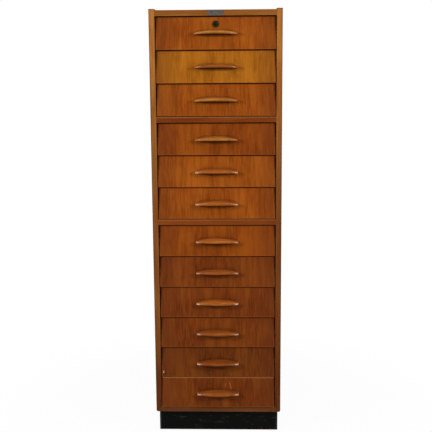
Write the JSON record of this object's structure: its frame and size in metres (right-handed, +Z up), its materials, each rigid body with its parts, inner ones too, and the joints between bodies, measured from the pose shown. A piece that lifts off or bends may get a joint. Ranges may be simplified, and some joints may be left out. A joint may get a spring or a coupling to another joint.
{
  "type": "chest of drawers",
  "caption": "Tall narrow teak chest of drawers with leaning inset fronts, solid lens-shaped pulls, a lock in the top drawer and a set-back black plinth.",
  "frame": {"origin": "on the floor, under the centre of the whole chest's box, handles and the slightly open lowest drawer included", "axes": "+Z up, +X to the right as seen from the front, the front faces -Y"},
  "size_m": [0.46, 0.476, 1.5435],
  "materials": {
    "teak_case": "oiled teak boards and edges",
    "teak_front": "oiled teak veneer with upright grain",
    "teak_handle": "solid teak, shaped and oiled",
    "beech": "plain sanded beech",
    "bottom_ply": "thin plywood, sanded",
    "back_ply": "teak-faced plywood",
    "black_plinth": "black satin lacquer on wood",
    "grey_metal": "bare dull metal plate",
    "dark_brass": "aged dark brass",
    "plug_brass": "aged dark brass",
    "screw_steel": "plain screws"
  },
  "bodies": {
    "carcass": {"side_left": "teak_case", "side_right": "teak_case", "top_panel": "teak_case", "dividers": "teak_case", "bottom_panel": "teak_case", "back_panel": "back_ply", "plinth": "black_plinth", "drawer_runners": "beech", "wood_screws": "screw_steel", "label_plate": "grey_metal"},
    "drawer_01": {"drawer_01_front": "teak_front", "drawer_01_handle": "teak_handle", "drawer_01_box": "beech", "drawer_01_bottom": "bottom_ply", "lock_housing": "dark_brass"},
    "drawer_02": {"drawer_02_front": "teak_front", "drawer_02_handle": "teak_handle", "drawer_02_box": "beech", "drawer_02_bottom": "bottom_ply"},
    "drawer_03": {"drawer_03_front": "teak_front", "drawer_03_handle": "teak_handle", "drawer_03_box": "beech", "drawer_03_bottom": "bottom_ply"},
    "drawer_04": {"drawer_04_front": "teak_front", "drawer_04_handle": "teak_handle", "drawer_04_box": "beech", "drawer_04_bottom": "bottom_ply"},
    "drawer_05": {"drawer_05_front": "teak_front", "drawer_05_handle": "teak_handle", "drawer_05_box": "beech", "drawer_05_bottom": "bottom_ply"},
    "drawer_06": {"drawer_06_front": "teak_front", "drawer_06_handle": "teak_handle", "drawer_06_box": "beech", "drawer_06_bottom": "bottom_ply"},
    "drawer_07": {"drawer_07_front": "teak_front", "drawer_07_handle": "teak_handle", "drawer_07_box": "beech", "drawer_07_bottom": "bottom_ply"},
    "drawer_08": {"drawer_08_front": "teak_front", "drawer_08_handle": "teak_handle", "drawer_08_box": "beech", "drawer_08_bottom": "bottom_ply"},
    "drawer_09": {"drawer_09_front": "teak_front", "drawer_09_handle": "teak_handle", "drawer_09_box": "beech", "drawer_09_bottom": "bottom_ply"},
    "drawer_10": {"drawer_10_front": "teak_front", "drawer_10_handle": "teak_handle", "drawer_10_box": "beech", "drawer_10_bottom": "bottom_ply"},
    "drawer_11": {"drawer_11_front": "teak_front", "drawer_11_handle": "teak_handle", "drawer_11_box": "beech", "drawer_11_bottom": "bottom_ply"},
    "drawer_12": {"drawer_12_front": "teak_front", "drawer_12_handle": "teak_handle", "drawer_12_box": "beech", "drawer_12_bottom": "bottom_ply"},
    "lock": {"lock_plug": "plug_brass"}
  },
  "joints": [
    {"name": "drawer_01_slide", "type": "slide", "parent": "carcass", "child": "drawer_01", "axis": [0, -1, 0], "range_m": [0, 0.3]},
    {"name": "drawer_02_slide", "type": "slide", "parent": "carcass", "child": "drawer_02", "axis": [0, -1, 0], "range_m": [0, 0.3]},
    {"name": "drawer_03_slide", "type": "slide", "parent": "carcass", "child": "drawer_03", "axis": [0, -1, 0], "range_m": [0, 0.3]},
    {"name": "drawer_04_slide", "type": "slide", "parent": "carcass", "child": "drawer_04", "axis": [0, -1, 0], "range_m": [0, 0.3]},
    {"name": "drawer_05_slide", "type": "slide", "parent": "carcass", "child": "drawer_05", "axis": [0, -1, 0], "range_m": [0, 0.3]},
    {"name": "drawer_06_slide", "type": "slide", "parent": "carcass", "child": "drawer_06", "axis": [0, -1, 0], "range_m": [0, 0.3]},
    {"name": "drawer_07_slide", "type": "slide", "parent": "carcass", "child": "drawer_07", "axis": [0, -1, 0], "range_m": [0, 0.3]},
    {"name": "drawer_08_slide", "type": "slide", "parent": "carcass", "child": "drawer_08", "axis": [0, -1, 0], "range_m": [0, 0.3]},
    {"name": "drawer_09_slide", "type": "slide", "parent": "carcass", "child": "drawer_09", "axis": [0, -1, 0], "range_m": [0, 0.3]},
    {"name": "drawer_10_slide", "type": "slide", "parent": "carcass", "child": "drawer_10", "axis": [0, -1, 0], "range_m": [0, 0.3]},
    {"name": "drawer_11_slide", "type": "slide", "parent": "carcass", "child": "drawer_11", "axis": [0, -1, 0], "range_m": [0, 0.3]},
    {"name": "drawer_12_slide", "type": "slide", "parent": "carcass", "child": "drawer_12", "axis": [0, -1, 0], "range_m": [-0.008, 0.292]},
    {"name": "lock_turn", "type": "hinge", "parent": "drawer_01", "child": "lock", "pos_m": [0, -0.18506, 1.4915], "axis": [0, 0.9968, -0.0805], "range_deg": [0, 90]}
  ]
}
